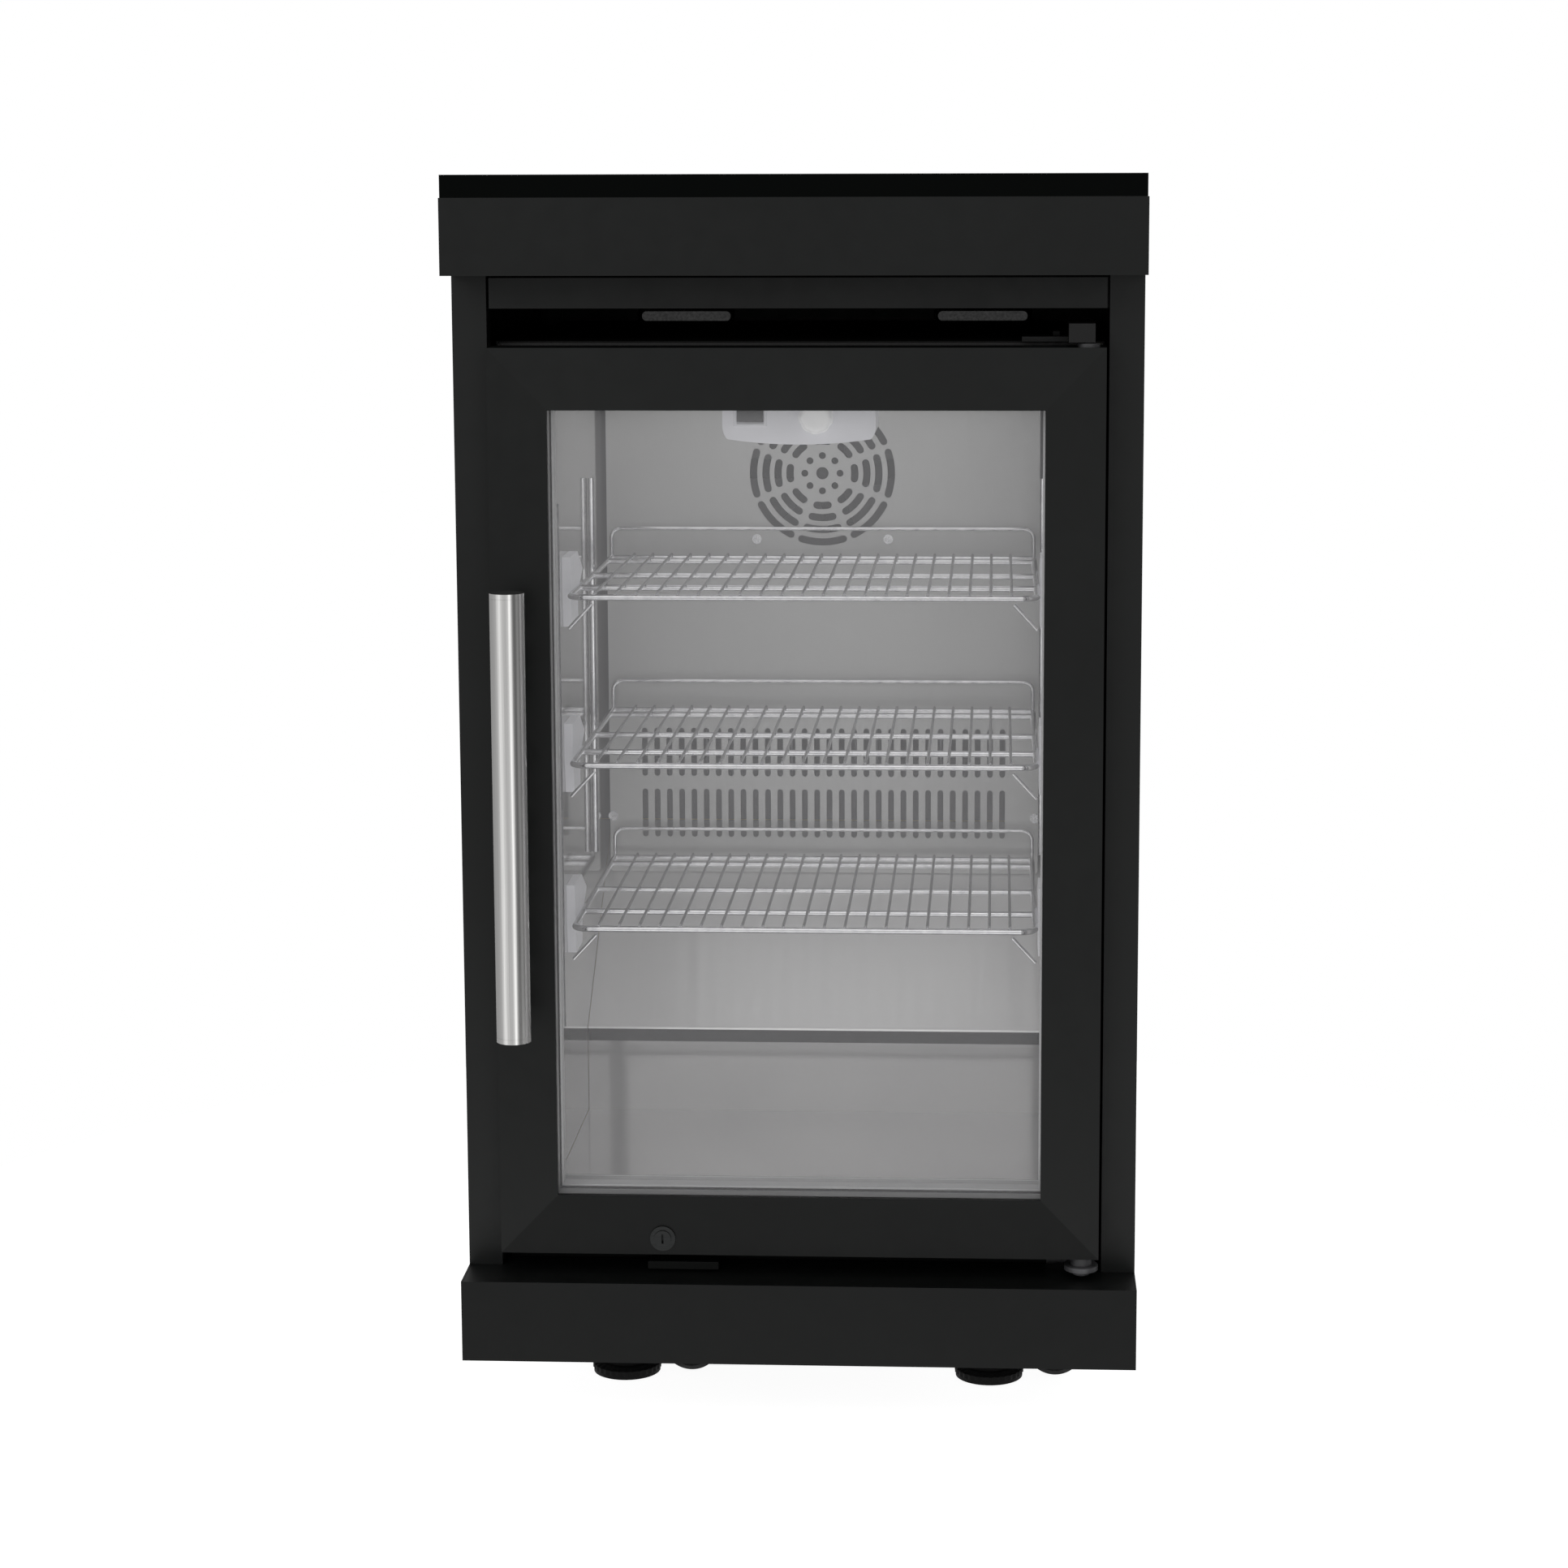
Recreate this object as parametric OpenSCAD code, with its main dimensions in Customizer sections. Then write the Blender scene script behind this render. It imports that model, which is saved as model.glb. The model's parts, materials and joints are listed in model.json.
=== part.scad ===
// Glass door merchandiser: a ventilated bar fridge built into a steel kitchen module.
// X is to the right of the front, Y is towards the back, Z is up, in millimetres.
// Every y below is a depth behind the plane of the side panels' front faces.

/* [Cabinet] */
// Width of the worktop, cabinet and plinth
overall_w = 558; // [556:1:564]
// Depth of the worktop
worktop_d = 600; // [600:1:604]
// Depth of the cabinet behind its front plane
cabinet_d = 543; // [543:1:546]
// How far the handle stands in front of the worktop
handle_proud = 27; // [27:1:31]
// Height of the worktop's top face
overall_h = 1032; // [1028:1:1060]
// Thickness of the worktop
worktop_t = 18; // [16:1:22]
// Height of the band under the worktop
header_h = 61; // [50:1:64]
// Height of the underside of the plinth
plinth_bottom = 58; // [56:1:60]
// Height of the plinth's top ledge
ledge_z = 126; // [124:1:126]
// How far the plinth stands in front of the side panels
plinth_proud = 47; // [40:1:52]
// Width of a side panel's front face
stile_w = 28; // [26:1:29]
// Thickness of the cabinet's sheet steel
sheet = 1.5; // [1.2:0.1:1.6]

/* [Fridge] */
// Width of the fridge body
fridge_w = 496; // [494:1:496]
// Depth of the fridge body's front face behind the front plane
fridge_front = 32; // [32:0.5:33]
// Depth of the fridge body's back face
fridge_back_y = 485; // [480:1:490]
// Height of the fridge body's top face
fridge_top_z = 898; // [897:1:899]
// Half width of the chamber
chamber_half = 206; // [205:0.5:206]
// Height of the chamber's floor
floor_z = 195; // [193:1:196]
// Height of the chamber's ceiling
ceiling_z = 865; // [864:1:868]
// Depth of the fan duct's cover, which is the chamber's back wall
duct_y = 390; // [388:1:392]

/* [Shelves] */
// Heights of the three shelves
shelf_z = [400.7, 541, 683.5];
// Number of front-to-back wires in a shelf
wire_count = 21; // [15:2:21]
// Spacing of those wires
wire_pitch = 17.4; // [16:0.1:17.6]
// Radius of those wires
wire_r = 1.3; // [1:0.1:1.5]
// Radius of a shelf's rails
rail_r = 2.6; // [2.2:0.1:2.8]
// Height of the fence at a shelf's back
fence_h = 27; // [20:1:30]

/* [Door] */
// Height of the door's bottom edge
door_bottom = 144.5; // [144:0.5:145]
// Height of the door's top edge
door_top = 895; // [893:0.5:895]
// Width of the door's side members
door_stile = 48; // [46:1:50]
// Height of the door's top and bottom members
door_rail = 50; // [48:1:52]
// Depth of the door's front face, in front of the side panels
door_front = -25; // [-26:0.5:-25]
// Depth of the door's back face
door_back = 20; // [19:0.5:20]
// Distance of the hinge axis from the middle
hinge_x = 234; // [233.5:0.5:235]
// Depth of the hinge axis
hinge_y = -13; // [-13:0.5:-12]
// Radius of a hinge pin
pin_r = 4; // [3.5:0.1:4.2]
// Radius of the handle bar
handle_r = 14; // [12:0.5:14]
// Height of the handle's lower end
handle_z0 = 337; // [320:1:350]
// Height of the handle's upper end
handle_z1 = 703; // [690:1:720]
// Distance of the handle from the middle, to the left
handle_x = 228; // [224:1:230]
// Distance of the lock from the middle, to the left
lock_x = 113; // [100:1:120]
// Height of the lock's centre
lock_z = 158.5; // [158:0.5:160]

/* [Castors] */
// Distance of each levelling foot from the middle
foot_x = 158; // [150:1:165]
// Depths of the front and rear levelling feet
foot_y = [100, 446];
// Radius of a levelling foot
foot_r = 29; // [26:0.5:29]
// Distance from a foot's centre to its wheel's centre
trail = 57; // [57:0.5:60]
// Radius of a castor wheel
wheel_r = 25; // [23:0.5:25]
// Height of a raised wheel above the floor
wheel_lift = 2; // [1:0.5:3]

/* [Hidden] */
$fn = 48;
half_w = overall_w / 2;
front_y = (worktop_d + handle_proud) / 2 - cabinet_d;
worktop_front = cabinet_d - worktop_d;
header_top = overall_h - worktop_t;
header_z = header_top - header_h;
opening_half = half_w - stile_w;
panel_back = cabinet_d - 2 * sheet;
flange = 20;
bottom_z = 80;
bottom_t = 2;
mount_z = 77;
foot_t = 12;
crown_z = 56;
crown_t = 12;
fridge_half = fridge_w / 2;
skin = 1;
liner = 0.8;
gap = 0.3;
base_z = bottom_z + bottom_t;
chamber_front = fridge_front + 2;
liner_back_y = 445;
riser_y = 239;
riser_top = 271;
ramp_slope = (383 - riser_top) / (duct_y - riser_y);
door_half = fridge_half;
glass_half = door_half - door_stile;
glass_bite = 8;
pane_t = 4;
glass_front = -20;
glass_back = 2;
running = 0.05;
bush_r = 7;
top_bore_z = 874;
bottom_bore_z = 162;
castor_axle_z = wheel_r + wheel_lift;
axle_r = 4;
stem_r = 10;
fan_z = 761;
shelf_front = 65;
shelf_back = 375;
rail_x = 195.4;
upright_x = 202.6;
upright_r = 3;
box_front = 42;
knob_x = 13;
knob_z = 836;
rocker_x = -41;
rocker_z = 841;
rocker_tilt = 7;
rocker_half = 10.8;
pivot_r = 1.5;

// Points along a circular arc
function arc(x, y, r, a0, a1, n) =
    [for (i = [0:n]) [x + r * cos(a0 + (a1 - a0) * i / n), y + r * sin(a0 + (a1 - a0) * i / n)]];

// Outline of a rectangle with round corners
function round_rect(x, y, r, n = 5) = concat(
    arc(x[1] - r, y[1] - r, r, 0, 90, n), arc(x[0] + r, y[1] - r, r, 90, 180, n),
    arc(x[0] + r, y[0] + r, r, 180, 270, n), arc(x[1] - r, y[0] + r, r, 270, 360, n));

// Outline of an upright slot with round ends
function upright_slot(x, z0, z1, r, n = 6) =
    concat(arc(x, z1 - r, r, 0, 180, n), arc(x, z0 + r, r, 180, 360, n));

// Outline of a slot bent round a centre, from angle a - spread to a + spread
function bent_slot(x, y, radius, r, a, spread, n = 6) = concat(
    arc(x, y, radius + r, a - spread, a + spread, n),
    arc(x + radius * cos(a + spread), y + radius * sin(a + spread), r, a + spread + 30,
        a + spread + 150, 4),
    arc(x, y, radius - r, a + spread, a - spread, n),
    arc(x + radius * cos(a - spread), y + radius * sin(a - spread), r, a - spread + 210,
        a - spread + 330, 4));

// Box from its limits along x, depth and z
module block(x, y, z)
    translate([x[0], front_y + y[0], z[0]])
        cube([x[1] - x[0], y[1] - y[0], z[1] - z[0]]);

// Round bar along z, y or x
module rod_z(x, y, z, r)
    translate([x, front_y + y, z[0]]) cylinder(h = z[1] - z[0], r = r);

module rod_y(x, y, z, r)
    translate([x, front_y + y[1], z]) rotate([90, 0, 0]) cylinder(h = y[1] - y[0], r = r);

module rod_x(x, y, z, r)
    translate([x[0], front_y + y, z]) rotate([0, 90, 0]) cylinder(h = x[1] - x[0], r = r);

// Flat outline stood up facing the front, between two depths
module upright_plate(y)
    translate([0, front_y + y[1], 0]) rotate([90, 0, 0]) linear_extrude(y[1] - y[0]) children();

// Section drawn as depth and height, drawn out along x
module along_x(x)
    translate([x[0], front_y, 0]) rotate([90, 0, 90]) linear_extrude(x[1] - x[0]) children();

module both_sides() {
    children();
    mirror([1, 0, 0]) children();
}

// Cabinet

module worktop_slab() {
    half = half_w - 1;
    color("#0c0f0e")
        block([-half, half], [worktop_front, cabinet_d], [header_top, overall_h]);
}

module header_band() {
    lip = 26;
    color("#222423") {
        block([-half_w, half_w], [worktop_front, worktop_front + sheet], [header_z, header_top]);
        for (z = [header_z, header_top - sheet])
            block([sheet + gap - half_w, half_w - sheet - gap],
                [worktop_front + sheet, z == header_z ? flange : worktop_front + lip],
                [z, z + sheet]);
        both_sides() {
            block([half_w - sheet, half_w], [worktop_front + sheet + gap, cabinet_d - sheet - gap],
                [header_z, header_top]);
            block([half_w - lip, half_w - sheet], [flange + gap, cabinet_d - lip],
                [header_z, header_z + sheet]);
        }
        block([-half_w, half_w], [cabinet_d - sheet, cabinet_d], [header_z, header_top]);
    }
}

module header_strip() {
    half = opening_half - 2;
    tab = 12;
    z = [925.5, 950];
    color("#222423") {
        block([-half, half], [1, 1 + sheet], z);
        block([-half, half], [1 + sheet, flange + sheet], [z[0], z[0] + sheet]);
        block([-half, half], [1 + sheet, flange + sheet], [z[1] - sheet, z[1]]);
        both_sides()
            block([half - sheet, half + tab], [flange, flange + sheet], z);
    }
}

module side_panel()
    color("#222423")
        translate([0, front_y, ledge_z])
            linear_extrude(header_z - ledge_z)
                polygon([
                    [opening_half, 0], [half_w, 0], [half_w, panel_back],
                    [half_w - flange, panel_back], [half_w - flange, panel_back - sheet],
                    [half_w - sheet, panel_back - sheet], [half_w - sheet, sheet],
                    [opening_half + sheet, sheet], [opening_half + sheet, flange],
                    [opening_half, flange]]);

module side_panel_left() mirror([1, 0, 0]) side_panel();

module side_panel_right() side_panel();

module back_panel() {
    half = half_w - 2;
    vent = [43, 4.6];
    port = [-200, 160];
    color("#1b1d1c")
        upright_plate([panel_back, panel_back + sheet])
            difference() {
                polygon(round_rect([-half, half], [ledge_z, header_z], 3, 2));
                for (x = [-139, 147])
                    for (z = [230, 260, 290, 900.4])
                        polygon(round_rect([x - vent[0], x + vent[0]], [z - vent[1], z + vent[1]], 4.4));
                translate(port) circle(r = 20);
            }
}

module bottom_panel()
    color("#222423")
        block([2 - half_w, half_w - 2], [sheet + gap - plinth_proud, panel_back],
            [bottom_z, bottom_z + bottom_t]);

module plinth_frame()
    color("#222423") {
        block([-half_w, half_w], [-plinth_proud, sheet - plinth_proud], [plinth_bottom, ledge_z]);
        block([sheet + gap - half_w, half_w - sheet - gap], [sheet - plinth_proud, flange],
            [ledge_z - sheet, ledge_z]);
        block([sheet + gap - half_w, half_w - sheet - gap],
            [sheet - plinth_proud, flange - plinth_proud], [bottom_z - sheet, bottom_z]);
        both_sides() {
            block([half_w - sheet, half_w], [sheet + gap - plinth_proud, cabinet_d - sheet - gap],
                [plinth_bottom, ledge_z]);
            block([half_w - flange, half_w - sheet], [flange + gap, cabinet_d - flange],
                [ledge_z - sheet, ledge_z]);
            block([half_w - flange, half_w - sheet], [flange + gap, cabinet_d - flange],
                [bottom_z - sheet, bottom_z]);
        }
        block([-half_w, half_w], [cabinet_d - sheet, cabinet_d], [plinth_bottom, ledge_z]);
    }

// Pan head screw with a cross recess, its head standing out to the front
module pan_screw(x, y, z, r, h)
    difference() {
        rod_y(x, [y - h, y], z, r);
        block([x - 0.6 * r, x + 0.6 * r], [y - h - 1, y - h + 0.8], [z - 0.5, z + 0.5]);
        block([x - 0.5, x + 0.5], [y - h - 1, y - h + 0.8], [z - 0.6 * r, z + 0.6 * r]);
    }

module panel_screws() {
    cover_screws = [[61, 700], [198, 438]];
    back_screw_x = 268;
    mount_bolt = 36;
    hinge_bolt_x = 209;
    color("#8d8f90") {
        for (side = [-1, 1]) {
            for (at = cover_screws)
                pan_screw(at[0] * side, duct_y, at[1], 4.5, 2.2);
            for (z = [160, 400, 640, 880])
                rod_y(back_screw_x * side, [panel_back + sheet, cabinet_d], z, 4);
            for (y = foot_y)
                for (dx = [-mount_bolt, mount_bolt])
                    for (dy = [-mount_bolt, mount_bolt])
                        rod_z(foot_x * side + dx, y + dy, [mount_z - 4, mount_z], 5);
        }
        for (y = [44, 62])
            translate([hinge_bolt_x, front_y + y, fridge_top_z + 4])
                cylinder(h = 3.5, r = 5.5, $fn = 6);
    }
}

// Castors, each with a levelling foot at the axis of its swivel

module at_feet()
    for (side = [-1, 1])
        for (y = foot_y)
            translate([foot_x * side, front_y + y, 0]) children();

// Plate under the bottom panel, its threaded stem, and the shoulder and nut that hold the yoke
module castor_mounts() {
    plate = 90;
    color("#55585a")
        at_feet() {
            translate([-plate / 2, -plate / 2, mount_z])
                cube([plate, plate, bottom_z - mount_z]);
            translate([0, 0, foot_t]) cylinder(h = mount_z + 1 - foot_t, r = stem_r);
            translate([0, 0, crown_z + crown_t + gap]) cylinder(h = 9, r = 15);
            translate([0, 0, crown_z - 6]) cylinder(h = 6 - gap, r = 14);
        }
}

module levelling_feet() {
    sole = 7;
    color("#101111")
        at_feet() {
            cylinder(h = sole, r = foot_r);
            translate([0, 0, sole - 0.5]) cylinder(h = foot_t - sole + 0.5, r = foot_r - 8);
        }
}

module castor_yoke(x, y) {
    cheek_y = 11;
    cheek_t = 3;
    arm_x = 10;
    color("#6a6d6f")
        translate([x, front_y + y, 0]) {
            difference() {
                union() {
                    translate([0, 0, crown_z]) cylinder(h = crown_t, r = 19);
                    translate([arm_x, -cheek_y - cheek_t, crown_z])
                        cube([trail + 18 - arm_x, 2 * (cheek_y + cheek_t), 5]);
                }
                translate([0, 0, crown_z - 1])
                    cylinder(h = crown_t + 2, r = stem_r + running);
            }
            for (side = [-1, 1])
                translate([trail, side * (cheek_y + cheek_t / 2) + cheek_t / 2, 0])
                    rotate([90, 0, 0])
                        linear_extrude(cheek_t)
                            polygon([[-9, castor_axle_z - 5], [9, castor_axle_z - 5],
                                [16, crown_z + 1], [-22, crown_z + 1]]);
            translate([trail, cheek_y + cheek_t, castor_axle_z]) rotate([90, 0, 0])
                cylinder(h = 2 * (cheek_y + cheek_t), r = axle_r);
        }
}

module castor_yoke_front_left() castor_yoke(-foot_x, foot_y[0]);

module castor_yoke_front_right() castor_yoke(foot_x, foot_y[0]);

module castor_yoke_rear_left() castor_yoke(-foot_x, foot_y[1]);

module castor_yoke_rear_right() castor_yoke(foot_x, foot_y[1]);

module castor_wheel(x, y) {
    half = 10;
    color("#1a1a1a")
        translate([x + trail, front_y + y, castor_axle_z])
            rotate([90, 0, 0])
                rotate_extrude()
                    polygon([
                        [axle_r + running, -half], [wheel_r - 5, -half], [wheel_r, -half + 5],
                        [wheel_r, half - 5], [wheel_r - 5, half], [axle_r + running, half]]);
}

module castor_wheel_front_left() castor_wheel(-foot_x, foot_y[0]);

module castor_wheel_front_right() castor_wheel(foot_x, foot_y[0]);

module castor_wheel_rear_left() castor_wheel(-foot_x, foot_y[1]);

module castor_wheel_rear_right() castor_wheel(foot_x, foot_y[1]);

// Fridge body

module fridge_sides()
    color("#1d1f1e")
        both_sides()
            block([fridge_half - skin, fridge_half], [fridge_front, fridge_back_y - skin],
                [base_z, fridge_top_z - skin]);

module fridge_top()
    color("#1d1f1e")
        block([-fridge_half, fridge_half], [fridge_front, fridge_back_y],
            [fridge_top_z - skin, fridge_top_z]);

module fridge_back()
    color("#7e8183")
        upright_plate([fridge_back_y - skin, fridge_back_y])
            difference() {
                polygon(round_rect([-fridge_half, fridge_half], [base_z, fridge_top_z - skin], 2, 1));
                for (column = [-1, 0, 1])
                    for (row = [0:5])
                        polygon(round_rect([140 * column - 50, 140 * column + 50],
                            [130 + 18 * row, 138 + 18 * row], 3.9, 3));
            }

module fridge_base() {
    half = fridge_half - skin - gap;
    color("#1d1f1e") {
        block([-half, half], [fridge_front + 2, fridge_back_y - 2], [base_z, base_z + 1.5]);
        upright_plate([fridge_front, fridge_front + 1.5])
            difference() {
                polygon(round_rect([-half, half], [base_z, door_bottom - 2], 2, 1));
                for (i = [-17:17])
                    polygon(upright_slot(11 * i, 92, 118, 2.5, 4));
            }
    }
}

// Sloping layer under the ramp, between two depths and below it by two amounts
module ramp_layer(y, below)
    along_x([gap - chamber_half, chamber_half - gap])
        polygon([for (p = [[y[0], below[0]], [y[1], below[0]], [y[1], below[1]], [y[0], below[1]]])
            [p[0], riser_top + (p[0] - riser_y) * ramp_slope - p[1]]]);

module insulation_foam() {
    inner = chamber_half - gap;
    side = [chamber_half + liner + 0.2, fridge_half - skin - 0.2];
    color("#d9cfa6") {
        both_sides()
            block(side, [chamber_front, fridge_back_y - 1.5], [door_bottom + 1, fridge_top_z - 2]);
        block([-inner, inner], [chamber_front, liner_back_y], [ceiling_z + 1, fridge_top_z - 2]);
        block([-inner, inner], [liner_back_y + 1, fridge_back_y - 1.5], [424, fridge_top_z - 2]);
        block([-inner, inner], [chamber_front, riser_y - 0.5], [door_bottom + 1, floor_z - 1]);
        block([-inner, inner], [riser_y + 1, 275], [door_bottom + 1, 262]);
        ramp_layer([276, liner_back_y], [3, 45]);
    }
}

module liner_sides()
    color("#b9b9ba")
        both_sides()
            block([chamber_half, chamber_half + liner], [chamber_front, liner_back_y],
                [floor_z, ceiling_z]);

module liner_ceiling()
    color("#b9b9ba")
        block([gap - chamber_half, chamber_half - gap], [chamber_front, liner_back_y],
            [ceiling_z, ceiling_z + liner]);

module liner_floor()
    color("#b9b9ba")
        block([gap - chamber_half, chamber_half - gap], [chamber_front, riser_y - 0.1],
            [floor_z - liner, floor_z]);

// Box over the compressor: one sheet bent from an upright riser into the ramp behind it
module liner_hump() {
    bend = 15;
    lean = 90 - atan(ramp_slope);
    centre = [riser_y + bend, riser_top - bend * tan(lean / 2)];
    far = liner_back_y - riser_y;
    color("#b9b9ba")
        along_x([gap - chamber_half, chamber_half - gap])
            polygon(concat(
                [[riser_y, floor_z]],
                arc(centre[0], centre[1], bend, 180, 180 - lean, 8),
                [[liner_back_y, riser_top + far * ramp_slope],
                    [liner_back_y, riser_top + far * ramp_slope - 1]],
                arc(centre[0], centre[1], bend - liner, 180 - lean, 180, 8),
                [[riser_y + liner, floor_z]]));
}

module liner_back()
    color("#b9b9ba")
        block([gap - chamber_half, chamber_half - gap], [liner_back_y + 0.1, liner_back_y + 0.9],
            [425, ceiling_z]);

// One strip of a mitred frame, standing up and facing the front
module frame_side(outer_x, inner_x, z, band)
    polygon([[outer_x, z[0]], [inner_x, z[0] + band[0]], [inner_x, z[1] - band[1]],
        [outer_x, z[1]]]);

module frame_end(outer_x, inner_x, outer_z, inner_z)
    polygon([[-outer_x, outer_z], [-inner_x, inner_z], [inner_x, inner_z], [outer_x, outer_z]]);

module front_frame() {
    outer = fridge_half - skin - gap;
    z = [door_bottom, fridge_top_z - skin - gap];
    mitre = 0.4;
    color("#9a9b9c")
        upright_plate([fridge_front, fridge_front + 1.8]) {
            both_sides()
                frame_side(outer, chamber_half, z, [floor_z - z[0], z[1] - ceiling_z]);
            frame_end(outer - mitre - 0.3, chamber_half - mitre, z[0], floor_z - mitre);
            frame_end(outer - mitre - 0.3, chamber_half - mitre, z[1], ceiling_z + mitre);
        }
}

// Slots of the fan grille: rings of bent slots round a ring of holes
module fan_grille() {
    slot_r = 3.4;
    // radius of each ring, and half a slot's length between its round ends
    rings = [[30, 5.2], [41.2, 9.6], [52.3, 14.4], [63.9, 19.4]];
    circle(r = 5.7);
    for (i = [0:7])
        rotate(45 * i) {
            translate([16.3, 0]) circle(r = 3.2);
            for (ring = rings)
                polygon(bent_slot(0, 0, ring[0], slot_r, 0, asin(ring[1] / ring[0])));
        }
}

module rear_duct_cover() {
    slot_count = 30;
    slot_pitch = 11.56;
    side_gap = 5;
    color("#b4b5b3")
        upright_plate([duct_y, duct_y + sheet])
            difference() {
                polygon(round_rect([side_gap - chamber_half, chamber_half - side_gap],
                    [384.6, ceiling_z - 0.3], 2, 1));
                translate([0, fan_z]) fan_grille();
                for (i = [0:slot_count - 1])
                    for (z = [418, 476])
                        polygon(upright_slot((i - (slot_count - 1) / 2) * slot_pitch, z, z + 46, 2.7));
            }
}

// Shelves

module shelf_uprights()
    color("#c6c7c8")
        both_sides() {
            rod_z(upright_x, 40, [322, 764], upright_r);
            rod_z(upright_x, 286, [424, 765], upright_r);
        }

// Plastic wedges that hold a shelf's side rails off the chamber's walls
module shelf_bumpers() {
    tip = 182;
    back_edge = 100;
    front_edge = 148;
    half_h = 30;
    color("#ececea")
        for (z = shelf_z)
            both_sides()
                along_x([rail_x + rail_r + gap, chamber_half - 0.2])
                    polygon([[back_edge, z], [back_edge, z + half_h], [front_edge, z + half_h],
                        [tip, z + 12], [front_edge, z - 6], [front_edge, z - half_h],
                        [back_edge + 6, z - half_h]]);
}

module shelf(z) {
    last = (wire_count - 1) / 2;
    lap = 0.5;
    brace_x = 176;
    bend = 12;
    frame_r = rail_r + 0.01;
    color("#d2d3d4") {
        rod_x([bend - rail_x, rail_x - bend], shelf_front, z, frame_r);
        for (y = [135, 228, 345, shelf_back])
            rod_x([-rail_x, rail_x], y, z, rail_r);
        both_sides() {
            rod_y(rail_x, [shelf_front + bend, shelf_back], z, frame_r);
            translate([rail_x - bend, front_y + shelf_front + bend, z])
                rotate([0, 0, -90])
                    rotate_extrude(angle = 90) translate([bend, 0]) circle(r = frame_r);
        }
        for (i = [-last:last])
            rod_y(i * wire_pitch, [shelf_front - 1, shelf_back + 1], z + rail_r + wire_r - lap, wire_r);
        both_sides()
            translate([brace_x, front_y + shelf_front, z - rail_r - 2.5])
                rotate([0, 137, 0]) cylinder(h = 29, r = 1.6);
    }
}

module shelf_lower() shelf(shelf_z[0]);

module shelf_middle() shelf(shelf_z[1]);

module shelf_upper() shelf(shelf_z[2]);

module shelf_fences() {
    r = 1.8;
    bend = 9;
    y = shelf_back + rail_r + r + 0.1;
    color("#d2d3d4")
        for (z = shelf_z) {
            rod_x([bend - rail_x, rail_x - bend], y, z + fence_h, r);
            both_sides() {
                rod_z(rail_x, y, [z - 2, z + fence_h - bend], r);
                translate([rail_x - bend, front_y + y, z + fence_h - bend])
                    rotate([90, 0, 0])
                        rotate_extrude(angle = 90) translate([bend, 0]) circle(r = r);
            }
        }
}

// Controls

module control_box() {
    face = [-64, 62];
    bottom = 813;
    crown = 400;
    middle = (face[0] + face[1]) / 2;
    color("#e9eaec")
        difference() {
            upright_plate([box_front, 110])
                intersection() {
                    polygon(round_rect(face, [bottom, ceiling_z + 12], 14));
                    translate([middle, bottom + crown]) circle(r = crown, $fn = 96);
                    translate([face[0], bottom]) square([face[1] - face[0], ceiling_z - 0.3 - bottom]);
                }
            block([rocker_x - 11.2, rocker_x + 11.2], [box_front - 1, box_front + 12],
                [rocker_z - 11.2, rocker_z + 11.2]);
            rod_x([rocker_x - rocker_half - 2, rocker_x + rocker_half + 2], box_front + 4, rocker_z,
                pivot_r + running);
            rod_y(knob_x, [box_front - 1, box_front + 15], knob_z, 3 + running);
        }
}

module thermostat_knob()
    color("#f1f1f0")
        difference() {
            union() {
                rod_y(knob_x, [box_front - 11, box_front - 0.4], knob_z, 14.3);
                rod_y(knob_x, [box_front - 0.4, box_front + 13], knob_z, 3);
            }
            block([knob_x - 0.6, knob_x + 0.6], [box_front - 12, box_front - 10.4],
                [knob_z + 5, knob_z + 16]);
        }

// Rocker that tips about its pivot pin, stored tipped to its lower stop
module light_rocker()
    color("#141516") {
        translate([rocker_x, front_y + box_front + 4, rocker_z])
            rotate([-rocker_tilt, 0, 0])
                translate([-rocker_half, -6, -10]) cube([2 * rocker_half, 10, 20]);
        rod_x([rocker_x - rocker_half - 1.5, rocker_x + rocker_half + 1.5], box_front + 4, rocker_z,
            pivot_r);
    }

// Cooling

module finned_block(x, y, z, fins, tubes) {
    tube_r = 4;
    step = (x[1] - x[0]) / (fins - 1);
    for (i = [0:fins - 1])
        block([x[0] + i * step - 0.5, x[0] + i * step + 0.5], y, z);
    for (i = [0:tubes - 1])
        rod_x([x[0] - 12, x[1] + 12], (y[0] + y[1]) / 2,
            z[0] + (i + 0.5) * (z[1] - z[0]) / tubes, tube_r);
}

module evaporator_coil()
    color("#a7adb3") finned_block([-150, 150], [400, 438], [470, 650], 16, 4);

module condenser_coil()
    color("#8b6b4c") finned_block([20, 190], [310, 440], [96, 232], 12, 4);

module fan_motor()
    color("#3a3d40") {
        rod_y(0, [416, 442], fan_z, 24);
        block([-90, 90], [442, liner_back_y - 0.2], [fan_z - 9, fan_z + 9]);
        rod_y(0, [400, 416], fan_z, 3);
    }

module fan_blade() {
    blades = 5;
    color("#2c2f31")
        translate([0, front_y + 406, fan_z])
            rotate([90, 0, 0])
                difference() {
                    union() {
                        translate([0, 0, -6.5]) cylinder(h = 13, r = 15);
                        for (i = [0:blades - 1])
                            rotate([0, 0, i * 360 / blades])
                                translate([35, 0, 0]) rotate([24, 0, 0])
                                    cube([46, 26, 1.6], center = true);
                    }
                    translate([0, 0, -10]) cylinder(h = 20, r = 3 + running);
                }
}

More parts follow.
